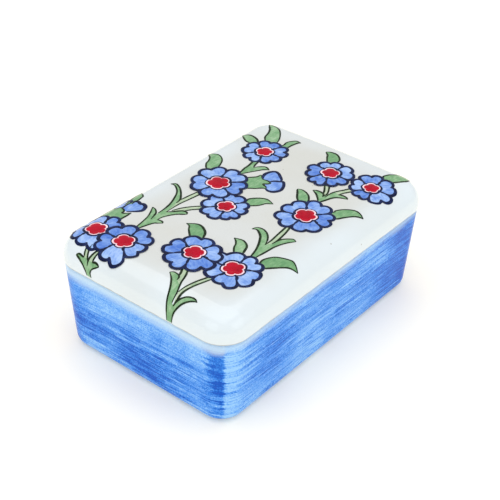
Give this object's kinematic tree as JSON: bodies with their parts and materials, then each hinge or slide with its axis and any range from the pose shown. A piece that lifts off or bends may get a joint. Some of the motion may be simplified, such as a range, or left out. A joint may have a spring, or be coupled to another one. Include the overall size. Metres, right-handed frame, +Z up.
{
  "type": "lidded ceramic box",
  "caption": "Rectangular glazed ceramic jewellery box: a deep tray and a pillow-topped lid that lifts off, kept in place by a ring under it.",
  "frame": {"origin": "on the table, under the middle of the box", "axes": "+X along the long side, +Y along the short side, +Z up out of the lid"},
  "size_m": [0.15, 0.101, 0.0585],
  "materials": {
    "blue_glaze": "glossy, brushed translucent blue over white, with a bare foot ring",
    "white_glaze": "glossy white with painted flower sprays",
    "petal_blue": "cornflower blue underglaze paint, brushed",
    "outline_navy": "dark blue-black outline paint",
    "leaf_green": "green underglaze paint, brushed",
    "raised_red": "thick red relief paint"
  },
  "bodies": {
    "base": {"base": "blue_glaze"},
    "lid": {"lid": "white_glaze"}
  },
  "joints": [
    {"name": "lid_lift", "type": "slide", "parent": "base", "child": "lid", "axis": [0, 0, 1], "range_m": [0, 0.08]}
  ]
}
